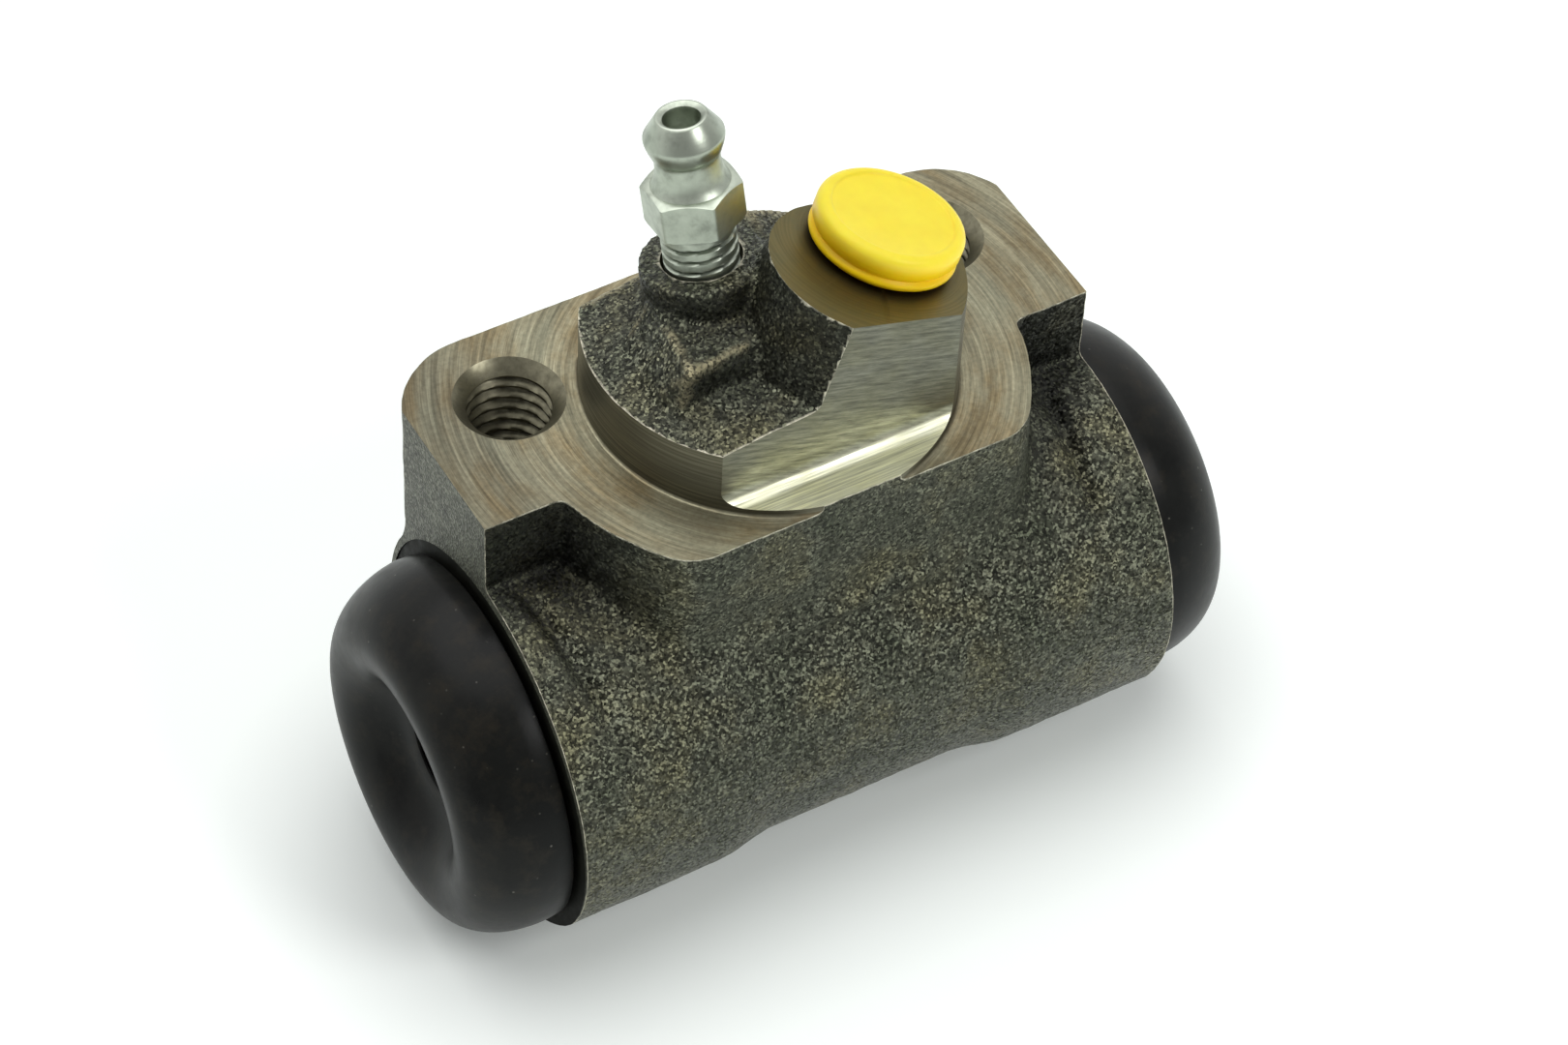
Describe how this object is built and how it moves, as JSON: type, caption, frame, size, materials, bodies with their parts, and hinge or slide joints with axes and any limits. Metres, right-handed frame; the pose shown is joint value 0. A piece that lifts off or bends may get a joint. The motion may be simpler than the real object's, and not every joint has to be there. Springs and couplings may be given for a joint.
{
  "type": "drum brake wheel cylinder",
  "caption": "Cast-iron drum brake wheel cylinder: pistons under rubber boots push the brake shoes apart, with a bleeder screw and a plugged inlet port on a turned pilot.",
  "frame": {"origin": "centre of the turned pilot, on the machined mounting face", "axes": "+Z out of the mounting face, +X along the bore towards the end next to the inlet port, +Y towards the two tapped holes"},
  "size_m": [0.0726, 0.0356, 0.0668],
  "materials": {
    "casting": "sand-cast, with turned and milled faces",
    "piston": "turned",
    "seal": "smooth moulded",
    "pressed_steel": "pressed sheet",
    "spring_steel": "drawn wire",
    "boot": "semi-matt moulded",
    "zinc_steel": "bright zinc plate",
    "plug": "soft gloss moulded"
  },
  "bodies": {
    "casting": {"cylinder_body": "casting", "dust_boot_left": "boot", "dust_boot_right": "boot", "return_spring": "spring_steel"},
    "left_piston": {"piston_left": "piston", "cup_seal_left": "seal", "cup_expander_left": "pressed_steel"},
    "right_piston": {"piston_right": "piston", "cup_seal_right": "seal", "cup_expander_right": "pressed_steel"},
    "bleeder": {"bleeder_screw": "zinc_steel"},
    "plug": {"inlet_plug": "plug"}
  },
  "joints": [
    {"name": "left_piston_slide", "type": "slide", "parent": "casting", "child": "left_piston", "axis": [-1, 0, 0], "range_m": [-0.001, 0.005], "deforming": ["dust_boot_left", "return_spring"]},
    {"name": "right_piston_slide", "type": "slide", "parent": "casting", "child": "right_piston", "axis": [1, 0, 0], "range_m": [-0.001, 0.005], "deforming": ["dust_boot_right", "return_spring"]},
    {"name": "bleeder_turn", "type": "hinge", "parent": "casting", "child": "bleeder", "pos_m": [-0.00254, -0.004, -0.0242], "axis": [-0.0513, 0.2011, 0.9782], "range_deg": [0, 270]},
    {"name": "plug_pull", "type": "slide", "parent": "casting", "child": "plug", "axis": [0.3123, 0, 0.95], "range_m": [0, 0.012]}
  ]
}
